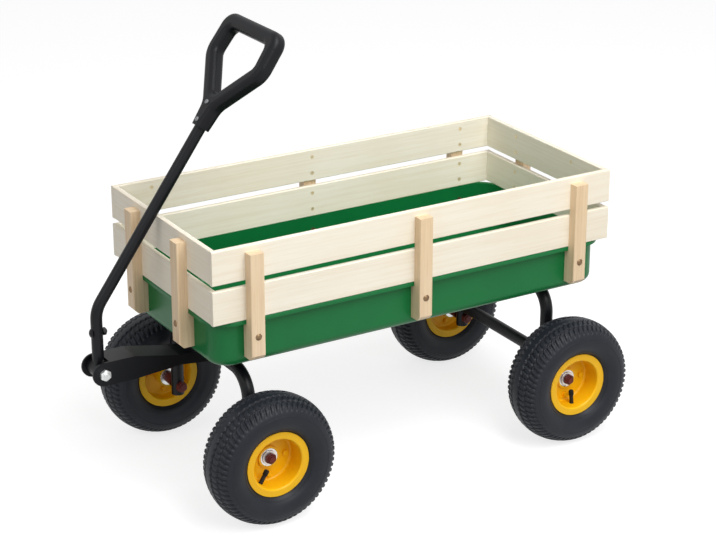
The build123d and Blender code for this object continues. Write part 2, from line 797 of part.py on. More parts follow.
with BuildPart() as handle_grip:
    with BuildSketch(grip_plane):
        with BuildLine():
            FilletPolyline(
                (grip_neck_width / 2, neck_mark),
                (grip_split_width / 2, split_mark),
                (half_grip, side_mark),
                (half_top, top_mark),
                (-half_top, top_mark),
                (-half_grip, side_mark),
                (-grip_split_width / 2, split_mark),
                (-grip_neck_width / 2, neck_mark),
                radius=grip_corners,
            )
            Line((-grip_neck_width / 2, neck_mark), (grip_neck_width / 2, neck_mark))
        make_face()
        with BuildLine():
            FilletPolyline(
                (0, loop_apex),
                (loop_half, loop_side),
                (loop_half - grip_top_taper, loop_top),
                (-loop_half + grip_top_taper, loop_top),
                (-loop_half, loop_side),
                radius=grip_loop_radius,
                close=True,
            )
        make_face(mode=Mode.SUBTRACT)
    extrude(amount=grip_depth / 2, both=True)
    flat_faces = handle_grip.faces().sort_by(Axis(bend_point, front_normal))
    rounded = []
    for flat_face in (flat_faces[0], flat_faces[-1]):
        rounded += flat_face.edges().sort_by(Axis(bend_point, along))[1:]
    fillet(rounded, grip_edge_radius)
    with BuildSketch(Plane(origin=bend_point + along * neck_mark, z_dir=along)):
        Circle(handle_radius + socket_fit)
    extrude(amount=socket_depth, mode=Mode.SUBTRACT)
    with Locations(*grip_screw_seats):
        Hole(grip_screw_diameter / 2 + fastener_fit, depth=grip_depth / 2)
save(handle_grip.part, "handle_grip")

with BuildPart() as grip_screw:
    with BuildSketch():
        Circle(grip_screw_head_diameter / 2)
    extrude(amount=grip_screw_head_height)
    fillet(grip_screw.edges().sort_by(Axis.Z)[-1], grip_screw_rounding)
    with BuildSketch():
        Circle(grip_screw_diameter / 2)
    extrude(amount=-grip_screw_length)
with BuildPart() as grip_screws:
    with Locations(*grip_screw_seats):
        add(grip_screw.part)
save(grip_screws.part, "grip_screws")

# Wheels: profiles are drawn with x as the radius and y as the distance outward from the tyre's middle
flange_radius = rim_flange_diameter / 2
seat_radius = bead_seat_diameter / 2
barrel_radius = seat_radius - rim_gauge
rim_half = rim_width / 2
hub_radius = hub_diameter / 2
bearing_radius = bearing_diameter / 2
tyre_half = tyre_width / 2
tread_radius = tyre_diameter / 2
shoulder_radius = tread_radius - tyre_shoulder_drop
shoulder_half = tyre_half - tyre_shoulder_inset
bead_half = rim_half - rim_gauge - wheel_fit
bead_radius = seat_radius + wheel_fit
bead_toe = bead_half - tyre_bead_width
wall_radius = flange_radius + wheel_fit
bulge_radius = (wall_radius + shoulder_radius) / 2
heel_size = 2 * rim_gauge
crown_inside = tread_radius - tread_gauge
cavity_low_radius = wall_radius - wheel_fit - rim_gauge
disc_bore = hub_radius + wheel_fit
disc_root = hub_radius - rim_gauge
rim_corners = [
    rim_corner_radius,
    rim_gauge,
    rim_edge_radius,
    rim_edge_radius,
    2 * rim_gauge,
    rim_corner_radius - rim_gauge,
]
tube_high = crown_inside - inner_tube_fit
tube_low = seat_radius + inner_tube_fit
ring_radius = (tube_high + tube_low) / 2
section_radius = (tube_high - tube_low) / 2
valve_tip_radius = barrel_radius - valve_length
valve_root_radius = ring_radius - sqrt((section_radius - inner_tube_gauge / 2) ** 2 - valve_offset**2)


def wheel(name, axle_x, side, valve_angle):
    centre = Vector(axle_x, side[1] * half_track, axle_z)
    outward = Vector(*side)
    profile = Plane(origin=centre, x_dir=up, z_dir=up.cross(outward))
    spin = Axis(centre, outward)
    face_plane = Plane(origin=centre, x_dir=forward, z_dir=outward)
    valve_way = Vector(cos(radians(valve_angle)), 0, sin(radians(valve_angle)))
    valve_tip = centre + outward * valve_offset + valve_way * valve_tip_radius
    valve_plane = Plane(origin=valve_tip, z_dir=valve_way)

    with BuildPart() as tyre:
        with BuildSketch(profile):
            with BuildLine():
                for flip in (1, -1):
                    Polyline(
                        (bead_radius, flip * bead_toe),
                        (bead_radius, flip * (bead_half - heel_size)),
                        (bead_radius + heel_size, flip * bead_half),
                        (wall_radius, flip * bead_half),
                    )
                    bulge = (bulge_radius, flip * tyre_half)
                    TangentArc(bulge, (wall_radius, flip * bead_half), tangent=(-1, 0))
                    TangentArc(bulge, (shoulder_radius, flip * shoulder_half), tangent=(1, 0))
                    Line((bead_radius, flip * bead_toe), (cavity_low_radius, flip * (bead_toe + rim_gauge)))
                    ThreePointArc(
                        (cavity_low_radius, flip * (bead_toe + rim_gauge)),
                        (bulge_radius, flip * (tyre_half - sidewall_gauge)),
                        (shoulder_radius - tread_gauge, flip * (shoulder_half - sidewall_gauge)),
                    )
                ThreePointArc(
                    (shoulder_radius, shoulder_half),
                    (tread_radius, 0),
                    (shoulder_radius, -shoulder_half),
                )
                ThreePointArc(
                    (shoulder_radius - tread_gauge, shoulder_half - sidewall_gauge),
                    (crown_inside, 0),
                    (shoulder_radius - tread_gauge, sidewall_gauge - shoulder_half),
                )
            make_face()
        revolve(axis=spin)
    save(tyre.part, f"{name}_tyre")

    with BuildPart() as inner_tube:
        with BuildSketch(profile):
            with Locations((ring_radius, 0)):
                Circle(section_radius)
                Circle(section_radius - inner_tube_gauge, mode=Mode.SUBTRACT)
        revolve(axis=spin)
        with BuildSketch(valve_plane):
            Circle(valve_diameter / 2)
        extrude(amount=valve_root_radius - valve_tip_radius)
    save(inner_tube.part, f"{name}_inner_tube")

    with BuildPart() as rim_outer:
        with BuildSketch(profile):
            with BuildLine():
                FilletPolyline(
                    (disc_bore, -disc_offset),
                    (seat_radius, -disc_offset),
                    (seat_radius, rim_half - rim_gauge),
                    (flange_radius, rim_half - rim_gauge),
                    (flange_radius, rim_half),
                    (barrel_radius, rim_half),
                    (barrel_radius, rim_gauge - disc_offset),
                    (disc_bore, rim_gauge - disc_offset),
                    radius=rim_corners,
                )
                Line((disc_bore, rim_gauge - disc_offset), (disc_bore, -disc_offset))
            make_face()
        revolve(axis=spin)
        with BuildSketch(valve_plane):
            Circle(valve_diameter / 2 + valve_hole_fit)
        extrude(amount=valve_root_radius - valve_tip_radius, mode=Mode.SUBTRACT)
        with Locations(face_plane):
            with PolarLocations(rim_bolt_circle / 2, rim_bolt_count):
                Hole(rim_bolt_diameter / 2 + fastener_fit, depth=2 * disc_offset)
    save(rim_outer.part, f"{name}_rim_outer")

    bore_radius = bearing_radius + bearing_fit
    hub_low = -hub_face_offset - hub_length
    with BuildPart() as rim_inner:
        with BuildSketch(profile):
            with BuildLine():
                FilletPolyline(
                    (disc_root, -disc_offset),
                    (seat_radius, -disc_offset),
                    (seat_radius, rim_gauge - rim_half),
                    (flange_radius, rim_gauge - rim_half),
                    (flange_radius, -rim_half),
                    (barrel_radius, -rim_half),
                    (barrel_radius, -rim_gauge - disc_offset),
                    (disc_root, -rim_gauge - disc_offset),
                    radius=rim_corners,
                )
                Line((disc_root, -rim_gauge - disc_offset), (disc_root, -disc_offset))
            make_face()
            with BuildLine():
                Polyline(
                    (bore_radius, hub_low),
                    (hub_radius, hub_low),
                    (hub_radius, -hub_face_offset),
                    (bore_radius, -hub_face_offset),
                    (bore_radius, -hub_face_offset - bearing_width),
                    (axle_shoulder_diameter / 2, -hub_face_offset - bearing_width),
                    (axle_shoulder_diameter / 2, hub_low + bearing_width),
                    (bore_radius, hub_low + bearing_width),
                    close=True,
                )
            make_face()
        revolve(axis=spin)
        with Locations(face_plane):
            with PolarLocations(rim_bolt_circle / 2, rim_bolt_count):
                Hole(rim_bolt_diameter / 2 + fastener_fit, depth=2 * disc_offset)
    save(rim_inner.part, f"{name}_rim_inner")

    rim_nut_height = nut_height_ratio * rim_bolt_diameter
    with BuildPart() as rim_bolts:
        head_point = centre + outward * (rim_gauge - disc_offset)
        nut_point = centre - outward * (rim_gauge + disc_offset)
        head_seat = Plane(origin=head_point, x_dir=forward, z_dir=outward)
        nut_seat = Plane(origin=nut_point, x_dir=forward, z_dir=outward * -1)
        with Locations(head_seat):
            with PolarLocations(rim_bolt_circle / 2, rim_bolt_count):
                add(hex_bolt(rim_bolt_diameter, 2 * rim_gauge + rim_nut_height + bolt_end))
        with Locations(nut_seat):
            with PolarLocations(rim_bolt_circle / 2, rim_bolt_count):
                add(hex_nut(rim_bolt_diameter))
    save(rim_bolts.part, f"{name}_rim_bolts")

    with BuildPart() as bearings:
        for face in (-hub_face_offset - bearing_width, hub_low):
            with BuildSketch(Plane(origin=centre + outward * face, z_dir=outward)):
                Circle(bearing_radius)
                Circle(axle_diameter / 2 + running_clearance, mode=Mode.SUBTRACT)
            extrude(amount=bearing_width)
    save(bearings.part, f"{name}_bearings")


for axle_name, axle_x in (("front", front_axle_x), ("rear", rear_axle_x)):
    for side_name, side in (("left", left), ("right", right)):
        wheel_name = f"{axle_name}_{side_name}"
        wheel(wheel_name, axle_x, side, valve_angles[wheel_name])

print(f"bed_x {bed_x:.3f} pivot_x {pivot_x:.3f} front axle {front_axle_x:.3f} rear axle {rear_axle_x:.3f}")
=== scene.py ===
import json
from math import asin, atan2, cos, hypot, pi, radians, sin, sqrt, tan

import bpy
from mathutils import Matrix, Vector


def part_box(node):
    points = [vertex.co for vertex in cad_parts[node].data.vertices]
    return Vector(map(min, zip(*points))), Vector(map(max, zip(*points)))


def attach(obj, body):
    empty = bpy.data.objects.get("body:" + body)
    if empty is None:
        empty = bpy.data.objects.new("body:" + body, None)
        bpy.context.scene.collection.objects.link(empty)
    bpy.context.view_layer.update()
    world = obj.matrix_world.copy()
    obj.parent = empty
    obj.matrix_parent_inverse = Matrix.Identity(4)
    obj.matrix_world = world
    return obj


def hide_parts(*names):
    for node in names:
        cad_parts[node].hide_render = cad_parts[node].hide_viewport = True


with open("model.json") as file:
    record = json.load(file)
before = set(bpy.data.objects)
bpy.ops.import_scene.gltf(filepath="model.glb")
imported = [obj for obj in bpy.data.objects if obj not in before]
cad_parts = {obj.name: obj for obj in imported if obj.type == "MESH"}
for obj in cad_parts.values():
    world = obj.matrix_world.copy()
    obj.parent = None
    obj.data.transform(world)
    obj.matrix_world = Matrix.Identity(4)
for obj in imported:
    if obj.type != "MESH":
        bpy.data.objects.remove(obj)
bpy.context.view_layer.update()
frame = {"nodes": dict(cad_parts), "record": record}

# %% [markdown]
# A hand wagon: a green pressed-steel tray with pale slatted sides, black tube axles, yellow rims with fat
# pneumatic tyres and a black pull handle. The solids come from the CAD frame, so every piece is already
# in its place. This lesson gives them their finishes, and models what the solids leave plain: the tread
# of the tyres, the handle's two bolts, the axles' nuts and washers, the bearings, the valve caps and the
# weld beads.

MM = 0.001
nodes = frame["nodes"]

# %% [markdown]
# The camera stands well back from the wagon's front left corner, looks down on it at about 22 degrees,
# and has a long lens. Its place was found by fitting the wagon's own corners to where they lie in the
# picture, so the lens is given as a focal length in pixels of a picture 716 wide, and turned into
# millimetres for Blender's 36 mm sensor.

# %% Camera
PICTURE_WIDTH_PX = 716
FOCAL_PX = 2111.34
SENSOR_MM = 36.0
CAMERA_PLACE = Vector((1.9212, 3.2855, 1.8747))
CAMERA_TARGET = Vector((-0.0542, -0.0033, 0.3518))

scene = bpy.context.scene
camera_data = bpy.data.cameras.new("camera")
camera_data.sensor_width = SENSOR_MM
camera_data.lens = FOCAL_PX / PICTURE_WIDTH_PX * SENSOR_MM
camera = bpy.data.objects.new("camera", camera_data)
camera.location = CAMERA_PLACE
camera.rotation_euler = (CAMERA_TARGET - CAMERA_PLACE).to_track_quat("-Z", "Y").to_euler()
scene.collection.objects.link(camera)
scene.camera = camera
scene.view_settings.view_transform = "Standard"
print("lens", round(camera_data.lens, 2), "mm")

# %% [markdown]
# Materials are trees of nodes. One small function adds a node, gives it its settings and joins its
# inputs, either to a value or to another node's output. Colours are written as sRGB hex values, the way a
# picture editor shows them, and one function turns them into the linear numbers that the renderer works
# with.

# %% Helpers for materials
def linear(hex_colour):
    """Linear RGBA from a hex value such as 1B7340, by the sRGB curve."""
    channels = [int(hex_colour[place:place + 2], 16) / 255 for place in (0, 2, 4)]
    return [c / 12.92 if c <= 0.04045 else ((c + 0.055) / 1.055) ** 2.4 for c in channels] + [1.0]


def add(tree, kind, inputs=None, **settings):
    """Add a node with its settings; inputs maps a socket to a value or to another node's output."""
    made = tree.nodes.new(kind)
    for name, value in settings.items():
        setattr(made, name, value)
    for socket, value in (inputs or {}).items():
        if isinstance(value, bpy.types.NodeSocket):
            tree.links.new(value, made.inputs[socket])
        else:
            made.inputs[socket].default_value = value
    return made


def start_material(name, shader_values):
    """A material with one Principled shader; returns the material, its tree and the shader."""
    material = bpy.data.materials.new(name)
    material.use_nodes = True
    tree = material.node_tree
    shader = tree.nodes["Principled BSDF"]
    for socket, value in shader_values.items():
        shader.inputs[socket].default_value = value
    return material, tree, shader


# A Mix node has sockets for each kind of data; these are the places of the ones that mix two colours.
MIX_SHARE, COLOUR_A, COLOUR_B, COLOUR_OUT = 0, 6, 7, 2
print("helpers ready")

# %% [markdown]
# The slats are planed softwood under a thin clear lacquer: pale cream, with long faint streaks along the
# board where the growth rings were cut. A picture of wood could be wrapped round each board, but noise
# that is stretched along the grain fits a board of any length and shows on its ends too. Growth rings lie
# a few millimetres apart, and here the streaks are 7 mm wide, so that they still show at this distance.
# Short fine streaks stand for the pores. The stakes are the same kind of wood, darker and browner, with
# the grain upright. A broad noise makes one board differ from the next.

# %% Wood
STREAK_WIDTH, STREAK_LENGTH = 7 * MM, 420 * MM
PORE_WIDTH, PORE_LENGTH, PORE_DEPTH = 2.2 * MM, 60 * MM, 0.15 * MM
BOARD_PATCH, PATCH_SHARE = 160 * MM, 0.6
WOOD_SMOOTH, WOOD_ROUGH = 0.42, 0.62
# Levels of the noise: at the low one a second colour starts to show, and at the high one it shows most.
STREAK_LOW, STREAK_HIGH = 0.42, 0.68
PORE_LOW, PORE_HIGH = 0.5, 0.75
PATCH_LOW, PATCH_HIGH = 0.35, 0.65


def wood(name, grain_axis, pale, streak, patch, streak_share):
    """Planed wood with its grain along an axis."""
    material, tree, shader = start_material(name, {"IOR": 1.5, "Coat Weight": 0.15, "Coat Roughness": 0.35})
    place = add(tree, "ShaderNodeTexCoord").outputs["Object"]
    fibres = []
    for width, length in ((STREAK_WIDTH, STREAK_LENGTH), (PORE_WIDTH, PORE_LENGTH)):
        scale = [1 / width] * 3
        scale["XYZ".index(grain_axis)] = 1 / length
        stretched = add(tree, "ShaderNodeMapping", {"Vector": place, "Scale": scale})
        fibres.append(add(tree, "ShaderNodeTexNoise", {
            "Vector": stretched.outputs["Vector"], "Scale": 1.0, "Detail": 3.0, "Roughness": 0.55,
            "Distortion": 0.35,
        }).outputs["Fac"])
    rings, pores = fibres
    ring_share = add(tree, "ShaderNodeMapRange", {
        "Value": rings, "From Min": STREAK_LOW, "From Max": STREAK_HIGH, "To Max": streak_share,
    })
    pore_share = add(tree, "ShaderNodeMapRange", {
        "Value": pores, "From Min": PORE_LOW, "From Max": PORE_HIGH, "To Max": streak_share,
    })
    broad = add(tree, "ShaderNodeTexNoise", {"Vector": place, "Scale": 1 / BOARD_PATCH, "Detail": 1.0})
    patch_share = add(tree, "ShaderNodeMapRange", {
        "Value": broad.outputs["Fac"], "From Min": PATCH_LOW, "From Max": PATCH_HIGH, "To Max": PATCH_SHARE,
    })
    ground = add(tree, "ShaderNodeMix", {
        MIX_SHARE: patch_share.outputs["Result"], COLOUR_A: linear(pale), COLOUR_B: linear(patch),
    }, data_type="RGBA")
    ringed = add(tree, "ShaderNodeMix", {
        MIX_SHARE: ring_share.outputs["Result"],
        COLOUR_A: ground.outputs[COLOUR_OUT], COLOUR_B: linear(streak),
    }, data_type="RGBA")
    pored = add(tree, "ShaderNodeMix", {
        MIX_SHARE: pore_share.outputs["Result"],
        COLOUR_A: ringed.outputs[COLOUR_OUT], COLOUR_B: linear(streak),
    }, data_type="RGBA")
    tree.links.new(pored.outputs[COLOUR_OUT], shader.inputs["Base Color"])
    rough = add(tree, "ShaderNodeMapRange", {"Value": pores, "To Min": WOOD_SMOOTH, "To Max": WOOD_ROUGH})
    tree.links.new(rough.outputs["Result"], shader.inputs["Roughness"])
    ridges = add(tree, "ShaderNodeBump", {"Height": pores, "Strength": 0.35, "Distance": PORE_DEPTH})
    tree.links.new(ridges.outputs["Normal"], shader.inputs["Normal"])
    return material


slat_look = {"pale": "F3ECDC", "streak": "E0D0B2", "patch": "EDE3CE", "streak_share": 0.3}
slat_wood_x = wood("pine_lengthways", "X", **slat_look)
slat_wood_y = wood("pine_crossways", "Y", **slat_look)
stake_wood = wood("pine_stakes", "Z", pale="E8D0AE", streak="C9A67E", patch="DFC29B", streak_share=0.4)
print("wood", slat_wood_x.name, slat_wood_y.name, stake_wood.name)

# %% [markdown]
# The tray and the rims are stove-enamelled steel: a thick coat that flows as it bakes, and dries with the
# faint dimples called orange peel, about two millimetres across. The gloss is a second, smoother layer
# over the colour. Powder coat on the tubes is the same idea with a finer grain, and the grip's
# polypropylene and the nylon washer have the grain of their moulds. Each could have a tree of nodes of
# its own, but one recipe is enough, because they differ only in colours, dimple size and gloss.

# %% Enamel, powder coat, paint and moulded plastic
TONE_CLOUD, TONE_SHARE = 90 * MM, 0.5
TONE_LOW, TONE_HIGH = 0.4, 0.7


def painted(name, colour, worn, dimple, depth, roughness, shine, coat):
    """A dimpled surface whose colour drifts a little towards a worn one."""
    material, tree, shader = start_material(name, {
        "Roughness": roughness, "Specular IOR Level": shine, "Coat Weight": coat, "Coat Roughness": 0.15,
    })
    place = add(tree, "ShaderNodeTexCoord").outputs["Object"]
    dimples = add(tree, "ShaderNodeTexNoise", {"Vector": place, "Scale": 1 / dimple, "Detail": 2.0})
    cloud = add(tree, "ShaderNodeTexNoise", {"Vector": place, "Scale": 1 / TONE_CLOUD, "Detail": 2.0})
    share = add(tree, "ShaderNodeMapRange", {
        "Value": cloud.outputs["Fac"], "From Min": TONE_LOW, "From Max": TONE_HIGH, "To Max": TONE_SHARE,
    })
    tone = add(tree, "ShaderNodeMix", {
        MIX_SHARE: share.outputs["Result"], COLOUR_A: linear(colour), COLOUR_B: linear(worn),
    }, data_type="RGBA")
    tree.links.new(tone.outputs[COLOUR_OUT], shader.inputs["Base Color"])
    peel = add(tree, "ShaderNodeBump", {
        "Height": dimples.outputs["Fac"], "Strength": 0.5, "Distance": depth,
    })
    tree.links.new(peel.outputs["Normal"], shader.inputs["Normal"])
    return material


green_enamel = painted("green_enamelled_steel", "0C6B35", "0A6230",
                       dimple=2.5 * MM, depth=0.05 * MM, roughness=0.4, shine=0.2, coat=0.08)
yellow_enamel = painted("yellow_enamelled_steel", "F6BD08", "F0AE06",
                        dimple=2.0 * MM, depth=0.04 * MM, roughness=0.4, shine=0.3, coat=0.1)
black_coat = painted("black_powder_coat", "0F1013", "141519",
                     dimple=1.6 * MM, depth=0.08 * MM, roughness=0.4, shine=0.19, coat=0.03)
red_paint = painted("red_oxide_paint", "5E1F1B", "471714",
                    dimple=1.6 * MM, depth=0.05 * MM, roughness=0.5, shine=0.3, coat=0.05)
grip_plastic = painted("black_moulded_polypropylene", "101114", "16171B",
                       dimple=1.2 * MM, depth=0.12 * MM, roughness=0.44, shine=0.18, coat=0.0)
nylon = painted("natural_nylon", "E4E2D8", "D6D3C6",
                dimple=1.5 * MM, depth=0.04 * MM, roughness=0.45, shine=0.4, coat=0.0)
print("paints", green_enamel.name, yellow_enamel.name, black_coat.name, red_paint.name)
print("plastics", grip_plastic.name, nylon.name)

# %% [markdown]
# Fasteners are steel with a thin plating. Bright zinc is silvery with a faint cloudiness, the wood
# screws' zinc is passivated a pale yellow, the grip's screws are a dull grey, and the stakes' bolts have
# a brown tinge. A metal has no diffuse colour, so its base colour is the colour of its reflections. One
# noise, with clouds a few millimetres wide, changes the colour and the roughness together, and that keeps
# so small a piece from looking like a mirror.

# %% Plated steel
PLATING_CLOUD = 6 * MM


def plated(name, colour, cloud_colour, rough_low, rough_high):
    """A cloudy metal between two colours and two roughnesses."""
    material, tree, shader = start_material(name, {"Metallic": 1.0})
    place = add(tree, "ShaderNodeTexCoord").outputs["Object"]
    cloud = add(tree, "ShaderNodeTexNoise", {"Vector": place, "Scale": 1 / PLATING_CLOUD, "Detail": 3.0})
    tone = add(tree, "ShaderNodeMix", {
        MIX_SHARE: cloud.outputs["Fac"], COLOUR_A: linear(colour), COLOUR_B: linear(cloud_colour),
    }, data_type="RGBA")
    tree.links.new(tone.outputs[COLOUR_OUT], shader.inputs["Base Color"])
    rough = add(tree, "ShaderNodeMapRange", {
        "Value": cloud.outputs["Fac"], "To Min": rough_low, "To Max": rough_high,
    })
    tree.links.new(rough.outputs["Result"], shader.inputs["Roughness"])
    return material


zinc = plated("zinc_plated_steel", "E6E7E6", "CFD1D2", rough_low=0.4, rough_high=0.6)
yellow_zinc = plated("yellow_passivated_steel", "F2E6CB", "E6D6B4", rough_low=0.55, rough_high=0.75)
dull_zinc = plated("dull_galvanised_steel", "8E9092", "737577", rough_low=0.5, rough_high=0.7)
dark_zinc = plated("bronzed_steel", "8C7357", "6E5A45", rough_low=0.35, rough_high=0.55)
bearing_steel = plated("ground_bearing_steel", "E2E3E4", "CBCDD0", rough_low=0.2, rough_high=0.35)
print("metals", zinc.name, yellow_zinc.name, dull_zinc.name, dark_zinc.name, bearing_steel.name)

# %% [markdown]
# Tyre rubber is charcoal, not black, because carbon black in rubber greys as it weathers. It is dull,
# with a soft sheen where the mould was smooth. A fine noise roughens it, and dust makes some patches
# paler. The grain of such a mould is finer than a millimetre, and here it is 1.5 mm, so that some of it
# still shows.

# %% Rubber
DUST_PATCH, DUST_SHARE = 35 * MM, 0.6
DUST_LOW, DUST_HIGH = 0.45, 0.75
MOULD_GRAIN, MOULD_DEPTH = 1.5 * MM, 0.1 * MM


def rubber(name, colour, dusty, roughness):
    """Moulded rubber with paler, dusty patches."""
    material, tree, shader = start_material(name, {"Roughness": roughness, "Specular IOR Level": 0.25})
    place = add(tree, "ShaderNodeTexCoord").outputs["Object"]
    dust = add(tree, "ShaderNodeTexNoise", {"Vector": place, "Scale": 1 / DUST_PATCH, "Detail": 4.0})
    share = add(tree, "ShaderNodeMapRange", {
        "Value": dust.outputs["Fac"], "From Min": DUST_LOW, "From Max": DUST_HIGH, "To Max": DUST_SHARE,
    })
    tone = add(tree, "ShaderNodeMix", {
        MIX_SHARE: share.outputs["Result"], COLOUR_A: linear(colour), COLOUR_B: linear(dusty),
    }, data_type="RGBA")
    tree.links.new(tone.outputs[COLOUR_OUT], shader.inputs["Base Color"])
    grain = add(tree, "ShaderNodeTexNoise", {"Vector": place, "Scale": 1 / MOULD_GRAIN, "Detail": 2.0})
    pits = add(tree, "ShaderNodeBump", {
        "Height": grain.outputs["Fac"], "Strength": 0.4, "Distance": MOULD_DEPTH,
    })
    tree.links.new(pits.outputs["Normal"], shader.inputs["Normal"])
    return material


tyre_rubber = rubber("charcoal_tyre_rubber", "1A1D24", "25282F", roughness=0.46)
tube_rubber = rubber("black_tube_rubber", "1B1B1D", "26272A", roughness=0.6)
print("rubber", tyre_rubber.name, tube_rubber.name)

# %% [markdown]
# Each solid of the frame now gets its finish. The record already says which material slot a node belongs
# to, so the finishes are listed by slot. A few nodes need a second look: the grain of the end boards runs
# across the wagon, and two kinds of screw have a plating of their own.

# %% Finishes for the solids
finish_by_slot = {
    "green_enamel": green_enamel,
    "yellow_enamel": yellow_enamel,
    "black_powder_coat": black_coat,
    "red_oxide_paint": red_paint,
    "zinc_plate": zinc,
    "dark_zinc": dark_zinc,
    "bearing_steel": bearing_steel,
    "pine": slat_wood_x,
    "stake_wood": stake_wood,
    "tyre_rubber": tyre_rubber,
    "tube_rubber": tube_rubber,
    "black_plastic": grip_plastic,
    "nylon": nylon,
}
finish_by_node = {"slat_screws": yellow_zinc, "grip_screws": dull_zinc}
for part in frame["record"]["subparts"]:
    solid = nodes[part["node"]]
    finish = finish_by_node.get(part["node"], finish_by_slot[part["material_slot"]])
    if part["node"].startswith(("slat_front", "slat_rear")):
        finish = slat_wood_y
    for slot in solid.material_slots:
        slot.material = finish

# %% [markdown]
# All the added pieces are skins over rings of points: each ring is a closed loop, and quads join every
# ring to the next one and the last one back to the first. A tyre is such a skin round its axle, a nut is
# one round its bore, and a weld bead is one along its seam. Cylinders with modifiers could make some of
# them, but this way each piece is one closed mesh of clean quads, and every edge is where its section
# puts it.

# %% Helper for skins
UP = Vector((0, 0, 1))


def skin(name, rings, finish, body, place=(0, 0, 0), facing=UP, sharp_degrees=35):
    """A closed mesh over rings of points, each joined to the next and the last to the first."""
    count, length = len(rings), len(rings[0])
    points = [point for ring in rings for point in ring]
    faces = []
    for i in range(count):
        here, there = i * length, (i + 1) % count * length
        for j in range(length):
            after = (j + 1) % length
            faces.append((here + j, here + after, there + after, there + j))
    mesh = bpy.data.meshes.new(name)
    mesh.from_pydata(points, [], faces)
    mesh.materials.append(finish)
    mesh.shade_smooth()
    mesh.set_sharp_from_angle(angle=radians(sharp_degrees))
    piece = bpy.data.objects.new(name, mesh)
    piece.location = place
    piece.rotation_mode = "QUATERNION"
    piece.rotation_quaternion = UP.rotation_difference(Vector(facing))
    scene.collection.objects.link(piece)
    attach(piece, body)
    return piece


print("skin helper ready")

# %% [markdown]
# The tyres. Their section is the CAD tyre's: a bead inside the rim, a round sidewall and a flatter crown,
# and two thin raised rings run round each sidewall. It could be drawn by hand as a curve. Here a few
# sizes and the arcs between them give it as a loop of points, because the tread needs to know how far
# each point lies from the middle of the crown. A point is a radius and a distance from the middle of the
# wheel.

# %% Section of a tyre
TYRE_RADIUS, TYRE_HALF = 127 * MM, 48 * MM
SHOULDER_RADIUS, SHOULDER_HALF = 116 * MM, 39 * MM
WALL_RADIUS, BEAD_HALF = 64.2 * MM, 32.8 * MM
BEAD_RADIUS, BEAD_TOE, HEEL = 51.2 * MM, 23.8 * MM, 4 * MM
BULGE_RADIUS = (WALL_RADIUS + SHOULDER_RADIUS) / 2
INNER_FACE = [(62 * MM, 25.8 * MM), (90 * MM, 41.5 * MM), (109.5 * MM, 33 * MM), (120 * MM, 8 * MM)]
TREAD_STEP, UPPER_STEPS, LOWER_STEPS = 2 * MM, 14, 12
UPPER_RING, LOWER_RING = 99 * MM, 71 * MM
RING_HALF, RING_HEIGHT = 1.3 * MM, 0.6 * MM
RING_TOP, RING_CLEAR = 0.6, 1.5  # shares of a ring's half width: its flat top, and the space kept round it


def sidewall_arc(end, ring_radius, count):
    """Points of the sidewall from its widest place to an end, with a thin ring raised on the way."""
    rise, drop = end[0] - BULGE_RADIUS, TYRE_HALF - end[1]
    bend = (rise * rise + drop * drop) / (2 * drop)
    sweep = atan2(abs(rise), bend - drop)
    turn = 1 if rise > 0 else -1
    ring_angle = asin(abs(ring_radius - BULGE_RADIUS) / bend)
    heights = [(sweep * step / count, 0) for step in range(count + 1)]
    heights = [mark for mark in heights if abs(mark[0] - ring_angle) * bend > RING_CLEAR * RING_HALF]
    for edge, height in ((-1, 0), (-RING_TOP, RING_HEIGHT), (RING_TOP, RING_HEIGHT), (1, 0)):
        heights.append((ring_angle + edge * RING_HALF / bend, height))
    points = []
    for angle, height in sorted(heights):
        radius = BULGE_RADIUS + turn * (bend + height) * sin(angle)
        points.append((radius, TYRE_HALF - bend + (bend + height) * cos(angle)))
    return points


crown_drop = TYRE_RADIUS - SHOULDER_RADIUS
crown_bend = (SHOULDER_HALF ** 2 + crown_drop ** 2) / (2 * crown_drop)
crown_sweep = asin(SHOULDER_HALF / crown_bend)
crown_steps = round(crown_bend * crown_sweep / TREAD_STEP)
half_section = []
for step in range(crown_steps):
    angle = crown_sweep * step / crown_steps
    half_section.append((TYRE_RADIUS - crown_bend * (1 - cos(angle)), crown_bend * sin(angle)))
upper_wall = sidewall_arc((SHOULDER_RADIUS, SHOULDER_HALF), UPPER_RING, UPPER_STEPS)
lower_wall = sidewall_arc((WALL_RADIUS, BEAD_HALF), LOWER_RING, LOWER_STEPS)
half_section += upper_wall[::-1] + lower_wall[1:]
half_section += [(BEAD_RADIUS + HEEL, BEAD_HALF), (BEAD_RADIUS, BEAD_HALF - HEEL), (BEAD_RADIUS, BEAD_TOE)]

outer_loop = half_section[::-1] + [(r, -y) for r, y in half_section[1:]]
tyre_section = outer_loop + [(r, -y) for r, y in INNER_FACE] + INNER_FACE[::-1]
along = [0.0]
for before, after in zip(outer_loop, outer_loop[1:]):
    along.append(along[-1] + hypot(after[0] - before[0], after[1] - before[1]))
crown_mark = along[len(half_section) - 1]
across_marks = [mark - crown_mark for mark in along]
print("tyre section", len(tyre_section), "points,", round(crown_mark / MM, 1), "mm from bead to crown")

# %% [markdown]
# The tread is cut into the crown: four zigzag grooves run round it, slanted slots part the blocks between
# them, and lugs stand along the shoulders, where their gaps notch the outline. A bump in the material
# would be less work, but then the outline would stay smooth. So a function says how deep the tread is cut
# at each place, and the mesh follows it. Distances run across the crown from its middle, and turns round
# the tyre are counted in lugs. Each pair of values below is where a wall starts to rise and where it
# ends.

